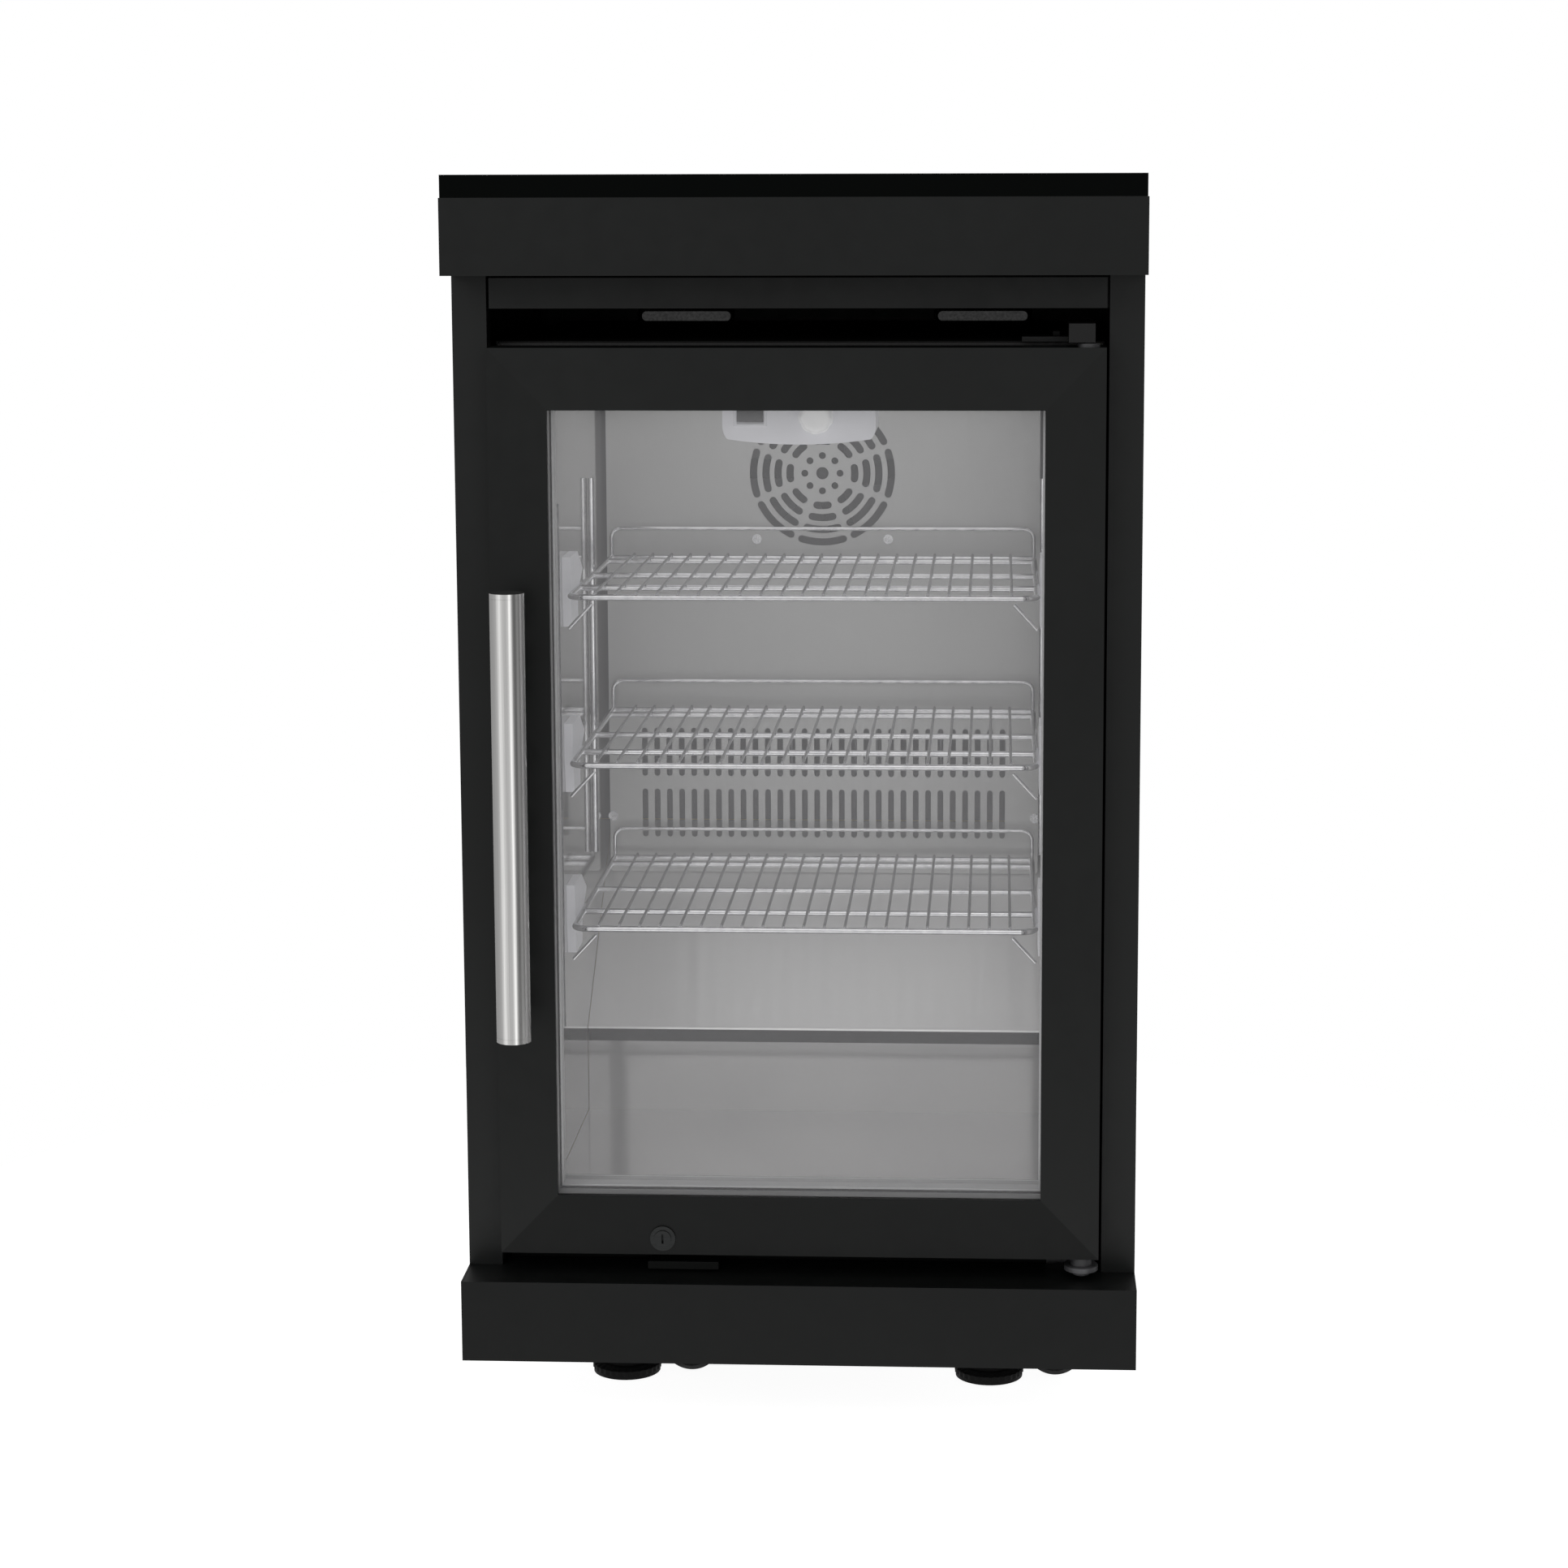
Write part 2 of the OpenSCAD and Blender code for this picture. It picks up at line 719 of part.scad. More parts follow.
module compressor() {
    at = [-110, front_y + 370, base_z + 1.5];
    shell_r = 62;
    color("#26282a")
        translate(at) {
            for (dx = [-55, 55])
                for (dy = [-40, 40])
                    translate([dx, dy, 0]) cylinder(h = 12.5, r = 11);
            translate([-75, -55, 12]) cube([150, 110, 3]);
            translate([0, 0, 14])
                rotate_extrude()
                    polygon(concat([[0, 0], [shell_r - 10, 0]], arc(shell_r - 10, 10, 10, -80, 0, 4),
                        arc(shell_r - 45, 110, 45, 0, 85, 7), [[0, 155]]));
        }
}

// Appliance inlet: a body with a recess for the cord's connector
module power_inlet() {
    at = [-200, 160];
    body = [26, 17];
    socket = [13, 9];
    deep = 14;
    color("#161718")
        difference() {
            block([at[0] - body[0], at[0] + body[0]], [fridge_back_y, fridge_back_y + deep],
                [at[1] - body[1], at[1] + body[1]]);
            block([at[0] - socket[0], at[0] + socket[0]],
                [fridge_back_y + 4, fridge_back_y + deep + 1],
                [at[1] - socket[1], at[1] + socket[1]]);
        }
}

// Door

module hinge_brackets() {
    top = fridge_top_z;
    plate_z = 133;
    plate_t = 4;
    color("#8f9294") {
        block([181, hinge_x + 5], [20, 74], [top, top + plate_t]);
        block([hinge_x - 16, hinge_x + 5], [hinge_y - 9, 21], [top + 1, top + 16]);
        rod_z(hinge_x, hinge_y, [top_bore_z + 2, top + 3], pin_r);
        block([hinge_x - 12, hinge_x + 11], [hinge_y, fridge_front], [plate_z, plate_z + plate_t]);
        rod_z(hinge_x, hinge_y, [plate_z, plate_z + plate_t], 14);
        rod_z(hinge_x, hinge_y, [plate_z - 4, bottom_bore_z - 1], pin_r);
        rod_z(hinge_x, hinge_y, [plate_z - 4, plate_z + 0.5], 7);
        block([206, 246], [fridge_front - 3, fridge_front], [100, plate_z + 3]);
    }
}

// Flanged bushes, each from its blind end to the door's edge, with a flange outside it
module hinge_bushes()
    color("#d8d8d4")
        difference() {
            union() {
                rod_z(hinge_x, hinge_y, [top_bore_z, door_top], bush_r);
                rod_z(hinge_x, hinge_y, [door_top, door_top + 3], bush_r + 2);
                rod_z(hinge_x, hinge_y, [door_bottom, bottom_bore_z], bush_r);
                rod_z(hinge_x, hinge_y, [door_bottom - 7.2, door_bottom], bush_r + 2);
            }
            rod_z(hinge_x, hinge_y, [door_bottom - 10, door_top + 10], pin_r + running);
        }

// Pockets that all four members share: the glass groove, the hollow of the extrusion, the
// hinge bores and the lock
module door_pockets() {
    half = glass_half + glass_bite + 0.3;
    hollow = [glass_bite + 3, 20];
    upright_plate([door_front + 3, door_back - 3])
        difference() {
            frame_opening(door_stile - hollow[1], door_rail - hollow[1]);
            frame_opening(hollow[0], hollow[0]);
        }
    block([-half, half], [glass_front - 0.2, glass_back + 0.2],
        [door_bottom + door_rail - glass_bite - 0.3, door_top - door_rail + glass_bite + 0.3]);
    rod_z(hinge_x, hinge_y, [top_bore_z, door_top + 1], bush_r + running);
    rod_z(hinge_x, hinge_y, [door_bottom - 1, bottom_bore_z], bush_r + running);
    rod_y(-lock_x, [door_front - 1, 2], lock_z, 10.5);
    block([-lock_x - 31, -lock_x + 12], [-4, 2], [door_bottom - 1, 171]);
}

// The door's inner opening, grown by an amount across and an amount up and down
module frame_opening(dx, dz)
    translate([-glass_half - dx, door_bottom + door_rail - dz])
        square([2 * (glass_half + dx), door_top - door_bottom - 2 * (door_rail - dz)]);

module door_member()
    color("#1f2120")
        difference() {
            upright_plate([door_front, door_back]) children();
            door_pockets();
        }

module door_stile_left()
    door_member()
        frame_side(-door_half, -glass_half, [door_bottom, door_top], [door_rail, door_rail]);

module door_stile_right()
    door_member()
        frame_side(door_half, glass_half, [door_bottom, door_top], [door_rail, door_rail]);

module door_rail_top()
    door_member() frame_end(door_half, glass_half, door_top, door_top - door_rail);

module door_rail_bottom()
    door_member() frame_end(door_half, glass_half, door_bottom, door_bottom + door_rail);

module glass_outline(inset) frame_opening(glass_bite - inset, glass_bite - inset);

module glass_panes()
    color("#cfd8d8", 0.35)
        for (y = [glass_front, glass_back - pane_t])
            upright_plate([y, y + pane_t]) glass_outline(0);

module glass_spacer()
    color("#2a2c2d")
        upright_plate([glass_front + pane_t, glass_back - pane_t])
            difference() {
                glass_outline(0.5);
                glass_outline(glass_bite - 1);
            }

module door_gasket() {
    outer = 232;
    band = 12;
    z = [door_bottom + 16, door_top - 16];
    mitre = 0.4;
    color("#17181a")
        upright_plate([door_back, fridge_front - gap]) {
            both_sides() frame_side(outer, outer - band, z, [band, band]);
            frame_end(outer - mitre, outer - band - mitre, z[0], z[0] + band);
            frame_end(outer - mitre, outer - band - mitre, z[1], z[1] - band);
        }
}

module handle_bar() {
    cap = 4;
    y = worktop_front - handle_proud + handle_r;
    color("#c9cacb") {
        difference() {
            rod_z(-handle_x, y, [handle_z0 + cap + 0.1, handle_z1 - cap - 0.1], handle_r);
            rod_z(-handle_x, y, [handle_z0, handle_z1], handle_r - 1.5);
        }
        rod_z(-handle_x, y, [handle_z0, handle_z0 + cap], handle_r);
        rod_z(-handle_x, y, [handle_z1 - cap, handle_z1], handle_r);
    }
}

module handle_standoffs() {
    y = worktop_front - handle_proud + handle_r;
    color("#c9cacb")
        difference() {
            for (z = [handle_z0 + 45, handle_z1 - 45])
                rod_y(-handle_x, [y + 2, door_front], z, 8);
            rod_z(-handle_x, y, [handle_z0, handle_z1], handle_r + running);
        }
}

module lock_body()
    color("#3c3e40")
        difference() {
            rod_y(-lock_x, [door_front - 1.5, -4.2], lock_z, 10.5);
            rod_y(-lock_x, [door_front - 2, 0], lock_z, 7 + running);
        }

// Key cylinder and its cam, stored unlocked with the cam lying flat in the rail
module lock_cylinder()
    color("#4a4c4e") {
        difference() {
            rod_y(-lock_x, [door_front - 2.5, -3.9], lock_z, 7);
            block([-lock_x - 0.8, -lock_x + 0.8], [door_front - 3, door_front + 2],
                [lock_z - 4, lock_z + 4]);
        }
        block([-lock_x - 28, -lock_x + 6], [-3.9, -0.9], [lock_z - 6, lock_z + 6]);
    }

// Bent strip on the fridge's base whose front lip the cam drops behind
module lock_keeper() {
    x = [-127, -68];
    lip_y = -11;
    web_z = 129;
    color("#5c5f61") {
        block(x, [lip_y, fridge_front], [web_z - sheet, web_z]);
        block(x, [lip_y, lip_y + sheet], [web_z - 1, web_z + 5]);
        block(x, [fridge_front - sheet, fridge_front], [web_z - 21, web_z - 1]);
    }
}

worktop_slab();
header_band();
header_strip();
side_panel_left();
side_panel_right();
back_panel();
bottom_panel();
plinth_frame();
panel_screws();
castor_mounts();
levelling_feet();
castor_yoke_front_left();
castor_yoke_front_right();
castor_yoke_rear_left();
castor_yoke_rear_right();
castor_wheel_front_left();
castor_wheel_front_right();
castor_wheel_rear_left();
castor_wheel_rear_right();
fridge_sides();
fridge_top();
fridge_back();
fridge_base();
insulation_foam();
liner_sides();
liner_ceiling();
liner_floor();
liner_hump();
liner_back();
front_frame();
rear_duct_cover();
shelf_uprights();
shelf_bumpers();
shelf_lower();
shelf_middle();
shelf_upper();
shelf_fences();
control_box();
thermostat_knob();
light_rocker();
evaporator_coil();
fan_motor();
fan_blade();
compressor();
condenser_coil();
hinge_brackets();
lock_keeper();
power_inlet();
door_stile_left();
door_stile_right();
door_rail_top();
door_rail_bottom();
glass_panes();
glass_spacer();
door_gasket();
handle_bar();
handle_standoffs();
hinge_bushes();
lock_body();
lock_cylinder();
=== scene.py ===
"""Looks of the glass door merchandiser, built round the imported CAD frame. Metres, +Z up."""
import json
import math

import bpy
from mathutils import Matrix, Vector


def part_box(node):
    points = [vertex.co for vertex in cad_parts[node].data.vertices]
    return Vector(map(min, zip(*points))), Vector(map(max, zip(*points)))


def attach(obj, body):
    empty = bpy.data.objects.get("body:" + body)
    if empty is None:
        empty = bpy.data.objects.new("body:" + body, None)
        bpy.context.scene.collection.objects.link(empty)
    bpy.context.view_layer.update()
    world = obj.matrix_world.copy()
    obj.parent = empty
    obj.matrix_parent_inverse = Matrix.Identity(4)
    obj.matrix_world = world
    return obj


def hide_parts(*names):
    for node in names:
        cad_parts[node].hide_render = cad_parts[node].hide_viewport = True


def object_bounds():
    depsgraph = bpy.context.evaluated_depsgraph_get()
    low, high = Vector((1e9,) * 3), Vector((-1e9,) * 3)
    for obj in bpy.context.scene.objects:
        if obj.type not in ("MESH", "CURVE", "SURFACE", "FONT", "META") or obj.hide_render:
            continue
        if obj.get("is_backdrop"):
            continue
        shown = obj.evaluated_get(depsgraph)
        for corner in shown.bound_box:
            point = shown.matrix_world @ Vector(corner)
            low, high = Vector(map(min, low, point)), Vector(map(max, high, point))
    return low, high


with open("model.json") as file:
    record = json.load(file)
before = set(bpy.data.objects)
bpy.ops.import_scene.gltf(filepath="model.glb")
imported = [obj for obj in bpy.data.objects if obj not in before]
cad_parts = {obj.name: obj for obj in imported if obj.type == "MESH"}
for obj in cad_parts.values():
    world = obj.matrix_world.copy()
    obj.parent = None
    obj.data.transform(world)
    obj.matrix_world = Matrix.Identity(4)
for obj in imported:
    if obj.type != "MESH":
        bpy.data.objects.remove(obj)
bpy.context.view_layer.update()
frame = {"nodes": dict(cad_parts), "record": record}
nodes = frame["nodes"]
MM = 0.001


# ---------------------------------------------------------------- materials

class Shader:
    """A node material whose colour, roughness and relief are built up from object coordinates."""

    def __init__(self, name, colour, rough, metal=0.0):
        self.mat = bpy.data.materials.new(name)
        self.mat.use_nodes = True
        self.tree = self.mat.node_tree
        self.bsdf = self.tree.nodes["Principled BSDF"]
        self.bsdf.inputs["Base Color"].default_value = (*colour, 1.0)
        self.bsdf.inputs["Roughness"].default_value = rough
        self.bsdf.inputs["Metallic"].default_value = metal
        self.coords = self.tree.nodes.new("ShaderNodeTexCoord").outputs["Object"]

    def link(self, a, b):
        self.tree.links.new(a, b)

    def noise(self, scale, detail=3.0):
        """Noise with features of 1/scale metres; three scales stretch it along an axis."""
        stretch = self.tree.nodes.new("ShaderNodeMapping")
        stretch.inputs["Scale"].default_value = scale if isinstance(scale, tuple) else (scale,) * 3
        self.link(self.coords, stretch.inputs["Vector"])
        node = self.tree.nodes.new("ShaderNodeTexNoise")
        node.inputs["Scale"].default_value = 1.0
        node.inputs["Detail"].default_value = detail
        self.link(stretch.outputs["Vector"], node.inputs["Vector"])
        return node.outputs["Fac"]

    def cells(self, scale):
        node = self.tree.nodes.new("ShaderNodeTexVoronoi")
        node.inputs["Scale"].default_value = scale
        self.link(self.coords, node.inputs["Vector"])
        return node.outputs["Distance"]

    def height_above(self, z):
        """0 below a height in the frame and 1 above it."""
        split = self.tree.nodes.new("ShaderNodeSeparateXYZ")
        self.link(self.coords, split.inputs[0])
        return self.remap(split.outputs["Z"], z - MM, z + MM, 0.0, 1.0)

    def math(self, operation, a, b):
        """An operation on two values, each a number or another node's output."""
        node = self.tree.nodes.new("ShaderNodeMath")
        node.operation = operation
        for socket, value in zip(node.inputs, (a, b)):
            if isinstance(value, float):
                socket.default_value = value
            else:
                self.link(value, socket)
        return node.outputs[0]

    def remap(self, value, low, high, to_low, to_high):
        node = self.tree.nodes.new("ShaderNodeMapRange")
        for i, number in enumerate((low, high, to_low, to_high), start=1):
            node.inputs[i].default_value = number
        self.link(value, node.inputs[0])
        return node.outputs[0]

    def tint(self, value, low, high, other):
        """Blends the colour so far into another one as the value rises from low to high."""
        node = self.tree.nodes.new("ShaderNodeMix")
        node.data_type = "RGBA"
        base, other_in, out = node.inputs[6], node.inputs[7], node.outputs[2]
        target = self.bsdf.inputs["Base Color"]
        if target.is_linked:
            self.link(target.links[0].from_socket, base)
        else:
            base.default_value = target.default_value
        other_in.default_value = (*other, 1.0)
        self.link(self.remap(value, low, high, 0.0, 1.0), node.inputs[0])
        self.link(out, target)
        return self

    def gloss(self, value, low, high, to_low, to_high):
        self.link(self.remap(value, low, high, to_low, to_high), self.bsdf.inputs["Roughness"])
        return self

    def relief(self, value, depth):
        """Adds a bump of a depth in metres on top of any that is already there."""
        node = self.tree.nodes.new("ShaderNodeBump")
        node.inputs["Distance"].default_value = depth
        self.link(value, node.inputs["Height"])
        target = self.bsdf.inputs["Normal"]
        if target.is_linked:
            self.link(target.links[0].from_socket, node.inputs["Normal"])
        self.link(node.outputs["Normal"], target)
        return self

    def specular(self, level):
        self.bsdf.inputs["Specular IOR Level"].default_value = level
        return self


def powder_coat(name, colour, rough, specular=0.25):
    """Satin powder coat: fine orange peel, with faint clouds in its gloss."""
    s = Shader(name, colour, rough).specular(specular)
    s.tint(s.noise(9.0), 0.35, 0.7, [c * 1.3 for c in colour])
    s.gloss(s.noise(60.0), 0.3, 0.7, rough - 0.04, rough + 0.06)
    s.relief(s.noise(900.0, 2.0), 0.00002)
    return s.mat


def polished_stone():
    s = Shader("polished_stone", (0.0005, 0.0008, 0.0007), 0.2).specular(0.03)
    s.tint(s.noise(700.0, 4.0), 0.62, 0.74, (0.006, 0.008, 0.007))
    s.tint(s.cells(520.0), 0.0, 0.2, (0.0012, 0.0016, 0.0014))
    s.gloss(s.noise(300.0), 0.3, 0.7, 0.14, 0.24)
    s.relief(s.noise(40.0), 0.00003)
    return s.mat


def brushed_metal(name, colour, rough, along, depth=0.00001):
    """Metal whose grain runs along one axis."""
    s = Shader(name, colour, rough, 1.0)
    grain = tuple(12.0 if axis == along else 1400.0 for axis in "xyz")
    streaks = s.noise(grain)
    s.tint(streaks, 0.25, 0.75, [c * 0.86 for c in colour])
    s.gloss(streaks, 0.25, 0.75, rough - 0.06, rough + 0.08)
    s.relief(streaks, depth)
    return s.mat


def wavy_sheet(name, grey, metal):
    """Stainless sheet, slightly wavy and cloudy, that mirrors and also scatters a little."""
    s = Shader(name, (grey, grey - 0.005, grey - 0.01), 0.08, metal)
    s.tint(s.noise(5.0), 0.35, 0.7, (0.9 * grey, 0.9 * grey - 0.005, 0.9 * grey - 0.005))
    s.relief(s.noise(6.0, 1.0), 0.0004)
    return s


def polished_liner(name, grey):
    s = wavy_sheet(name, grey, 0.62)
    s.gloss(s.noise((260.0, 260.0, 6.0)), 0.3, 0.7, 0.04, 0.1)
    return s.mat


def hump_metal():
    """The liner's sheet again, mirror-like on the riser and brushed on the ramp above it, with the ramp
    painted lighter as painted light.
    """
    s = wavy_sheet("hump_metal", 0.62, 0.5)
    bend_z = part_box("liner_hump")[0].z + 74 * MM
    # Painted light: above the bend the same sheet gets a much lighter colour, so the ramp reads brighter
    # than the riser.
    s.tint(s.height_above(bend_z), 0.0, 1.0, (0.93, 0.925, 0.92))
    s.gloss(s.height_above(bend_z), 0.0, 1.0, 0.07, 0.27)
    s.relief(s.noise((9.0, 1100.0, 1100.0)), 0.000005)
    return s.mat


def bright_steel(name, colour, rough):
    """Chrome or bright zinc with faint clouds and small scratches."""
    s = Shader(name, colour, rough, 1.0)
    s.tint(s.noise(120.0), 0.4, 0.7, (0.68, 0.68, 0.7))
    s.gloss(s.noise(400.0), 0.3, 0.7, rough - 0.05, rough + 0.05)
    s.relief(s.noise(900.0), 0.00001)
    return s


def chrome():
    return bright_steel("wire_chrome", (0.82, 0.82, 0.83), 0.15).mat


def shelf_wire(node):
    """Chrome frame and cross rods, with the front-to-back wires lying on top of them painted darker as
    painted shade.
    """
    s = bright_steel("shelf_wire_" + node, (0.8, 0.8, 0.81), 0.17)
    # Painted shade: the top 2.2 mm, where the front-to-back wires lie, gets a darker copy of the chrome.
    s.tint(s.height_above(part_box(node)[1].z - 2.2 * MM), 0.0, 1.0, (0.26, 0.26, 0.27))
    return s.mat


def dark_screws():
    """Bright screws inside the chamber, black ones on the hinge above it."""
    s = bright_steel("screw_steel", (0.8, 0.8, 0.81), 0.25)
    s.tint(s.height_above(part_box("fridge_top")[1].z), 0.0, 1.0, (0.008, 0.008, 0.008))
    return s.mat


def glowing_white_plastic(name, colour):
    """White plastic with a faint painted glow, an emission that brightens it though it is no lamp."""
    mat = plastic(name, colour, 0.33)
    shader = mat.node_tree.nodes["Principled BSDF"]
    # Painted glow: this emission stands in for light on the control box and the knob.
    shader.inputs["Emission Color"].default_value = (0.97, 0.97, 1.0, 1.0)
    shader.inputs["Emission Strength"].default_value = 0.1
    return mat


def duct_metal():
    s = Shader("duct_cover_steel", (0.56, 0.56, 0.555), 0.36, 0.5)
    s.tint(s.noise(3.0), 0.35, 0.7, (0.5, 0.5, 0.497))
    s.gloss(s.noise((500.0, 500.0, 9.0)), 0.3, 0.7, 0.32, 0.42)
    s.relief(s.noise((900.0, 900.0, 14.0)), 0.000008)
    return s.mat


def plastic(name, colour, rough, specular=0.5):
    s = Shader(name, colour, rough).specular(specular)
    s.tint(s.noise(30.0), 0.35, 0.7, [c * 0.93 for c in colour])
    s.gloss(s.noise(200.0), 0.3, 0.7, rough - 0.04, rough + 0.05)
    s.relief(s.noise(1200.0), 0.00001)
    return s.mat


def rubber(name, colour):
    s = Shader(name, colour, 0.7).specular(0.15)
    s.tint(s.noise(80.0), 0.35, 0.7, [c * 1.5 for c in colour])
    s.gloss(s.noise(150.0), 0.3, 0.7, 0.6, 0.8)
    s.relief(s.noise(1500.0), 0.00003)
    return s.mat


def foam():
    s = Shader("foam", (0.75, 0.66, 0.4), 0.9)
    s.tint(s.noise(60.0), 0.3, 0.7, (0.62, 0.53, 0.3))
    s.relief(s.cells(600.0), 0.0003)
    return s.mat


def frame_plastic():
    """Pale front frame of the chamber, with a dark strip along its top."""
    s = Shader("frame_plastic", (0.6, 0.6, 0.605), 0.45)
    s.tint(s.noise(30.0), 0.35, 0.7, (0.56, 0.56, 0.565))
    s.tint(s.height_above(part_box("front_frame")[1].z - 18 * MM), 0.0, 1.0, (0.006, 0.006, 0.006))
    s.gloss(s.noise(200.0), 0.3, 0.7, 0.4, 0.5)
    s.relief(s.noise(1200.0), 0.00001)
    return s.mat


def vent_shade_cloth():
    """Dark sheet behind the vents, painted shade for the dim space seen through them, that lets a little of
    the light behind it through.
    """
    s = Shader("vent_shade_cloth", (0.02, 0.02, 0.02), 0.9).specular(0.1)
    s.tint(s.noise(900.0), 0.35, 0.7, (0.035, 0.035, 0.035))
    s.relief(s.cells(1500.0), 0.0002)
    s.link(s.remap(s.noise(400.0), 0.3, 0.7, 0.8, 0.86), s.bsdf.inputs["Alpha"])
    return s.mat


def door_glass():
    """Clear pane with a faint milky veil, as coated insulating glass shows in bright light."""
    s = Shader("door_glass", (0.74, 0.735, 0.75), 0.05)
    edge_on = s.tree.nodes.new("ShaderNodeLayerWeight")
    edge_on.inputs["Blend"].default_value = 0.5
    oblique = s.math("MULTIPLY", s.math("POWER", edge_on.outputs["Facing"], 4.0), 0.8)
    veil = s.remap(s.noise(3.0), 0.3, 0.7, 0.045, 0.05)
    s.link(s.math("ADD", oblique, veil), s.bsdf.inputs["Alpha"])
    return s.mat


def hinge_metal():
    """Zinc plated below, painted black on the bracket at the top."""
    s = Shader("hinge_metal", (0.1, 0.1, 0.105), 0.4, 0.6)
    middle = (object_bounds()[0].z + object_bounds()[1].z) / 2
    s.tint(s.height_above(middle), 0.0, 1.0, (0.009, 0.009, 0.009))
    s.gloss(s.noise(300.0), 0.3, 0.7, 0.34, 0.46)
    s.relief(s.noise(900.0), 0.00002)
    return s.mat


PANEL = (0.0036, 0.0041, 0.0039)
RAIL = (0.0038, 0.0043, 0.0041)
SLOT_LOOKS = {
    "stone_black": polished_stone(),
    "cabinet_black": powder_coat("cabinet_powder_coat", PANEL, 0.42),
    "fridge_black": powder_coat("fridge_powder_coat", (0.004, 0.0043, 0.004), 0.5, 0.15),
    "zinc_plate": brushed_metal("zinc_plate", (0.42, 0.43, 0.44), 0.38, "x"),
    "screw_steel": dark_screws(),
    "foot_black": plastic("foot_plastic", (0.0022, 0.0022, 0.0022), 0.6, 0.12),
    "wheel_black": rubber("castor_tread", (0.003, 0.003, 0.003)),
    "foam_yellow": foam(),
    "liner_steel": polished_liner("polished_liner", 0.66),
    "frame_grey": frame_plastic(),
    "duct_steel": duct_metal(),
    "wire_chrome": chrome(),
    "white_plastic": glowing_white_plastic("white_plastic", (0.66, 0.66, 0.695)),
    "rocker_black": plastic("rocker_plastic", (0.1, 0.1, 0.105), 0.2),
    "fin_aluminium": brushed_metal("fin_aluminium", (0.31, 0.315, 0.33), 0.5, "z"),
    "condenser_black": powder_coat("condenser_paint", (0.012, 0.012, 0.012), 0.45),
    "motor_grey": powder_coat("motor_paint", (0.1, 0.1, 0.105), 0.7),
    "blade_black": plastic("blade_plastic", (0.09, 0.09, 0.095), 0.7),
    "compressor_black": powder_coat("compressor_paint", (0.012, 0.012, 0.012), 0.35, 0.5),
    "hinge_steel": hinge_metal(),
    "inlet_black": plastic("inlet_plastic", (0.012, 0.012, 0.012), 0.5),
    "door_black": powder_coat("door_rail_coat", RAIL, 0.38, 0.22),
    "glass_clear": door_glass(),
    "spacer_dark": brushed_metal("spacer_aluminium", (0.5, 0.5, 0.5), 0.4, "x"),
    "gasket_black": rubber("gasket_rubber", (0.008, 0.008, 0.008)),
    "handle_steel": brushed_metal("handle_steel", (0.66, 0.655, 0.645), 0.17, "z", 0.000005),
    "bush_nylon": plastic("bush_nylon", (0.03, 0.03, 0.032), 0.5),
    "lock_dark": brushed_metal("lock_metal", (0.03, 0.031, 0.031), 0.35, "x"),
}
KNOB_LOOK = glowing_white_plastic("knob_plastic", (0.9, 0.9, 0.89))
# Painted shade: a darker copy of the panel coat for the door stiles and the header band.
STILE_SHADED_LOOK = powder_coat("door_stile_coat", [c * 0.85 for c in PANEL], 0.38, 0.215)
# Painted shade: a darker copy of the panel coat for the plinth and the door's bottom rail, which mirror the
# bright floor.
LOW_SHADED_LOOK = powder_coat("low_powder_coat", [c * 0.65 for c in PANEL], 0.42, 0.165)
HUMP_LOOK = hump_metal()
NODE_LOOKS = {
    "door_stile_left": STILE_SHADED_LOOK, "door_stile_right": STILE_SHADED_LOOK, "header_band": STILE_SHADED_LOOK,
    "plinth_frame": LOW_SHADED_LOOK, "door_rail_bottom": LOW_SHADED_LOOK,
    "liner_hump": HUMP_LOOK,
    # Painted shade: the side walls get a darker copy of the liner sheet.
    "liner_sides": polished_liner("liner_side_sheet", 0.56),
    "liner_back": powder_coat("duct_shade", (0.3, 0.3, 0.31), 0.6),
}
for shelf in ("shelf_lower", "shelf_middle", "shelf_upper"):
    NODE_LOOKS[shelf] = shelf_wire(shelf)
BEVEL_WIDTHS = {
    "worktop_slab": 3.0, "glass_panes": 0.4, "control_box": 3.0, "light_rocker": 1.0,
    "levelling_feet": 2.0, "handle_bar": 0.8, "plinth_frame": 0.7, "header_band": 1.2,
    "shelf_bumpers": 2.5, "door_stile_left": 0.7, "door_stile_right": 0.7, "door_rail_top": 0.7,
    "door_rail_bottom": 0.7,
}


def dress_cad_nodes():
    """Gives every CAD node the look of its slot and softens its edges."""
    for part in frame["record"]["subparts"]:
        name = part["node"]
        mesh = nodes[name].data
        mesh.materials.clear()
        mesh.materials.append(NODE_LOOKS.get(name, SLOT_LOOKS[part["material_slot"]]))
        bevel = nodes[name].modifiers.new("bevel", "BEVEL")
        bevel.width = BEVEL_WIDTHS.get(name, 0.4) * MM
        bevel.segments = 3
        bevel.limit_method = "ANGLE"
        bevel.angle_limit = math.radians(40)


# ---------------------------------------------------------------- pieces

def add_piece(name, verts, faces, slot, body, sharp=40.0, look=None):
    """A smooth shaded mesh that takes a slot's look and rides on a body."""
    mesh = bpy.data.meshes.new(name)
    mesh.from_pydata([tuple(v) for v in verts], [], faces)
    mesh.validate()
    mesh.polygons.foreach_set("use_smooth", [True] * len(mesh.polygons))
    mesh.set_sharp_from_angle(angle=math.radians(sharp))
    mesh.materials.append(look or SLOT_LOOKS[slot])
    piece = bpy.data.objects.new(name, mesh)
    bpy.context.collection.objects.link(piece)
    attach(piece, body)
    return piece


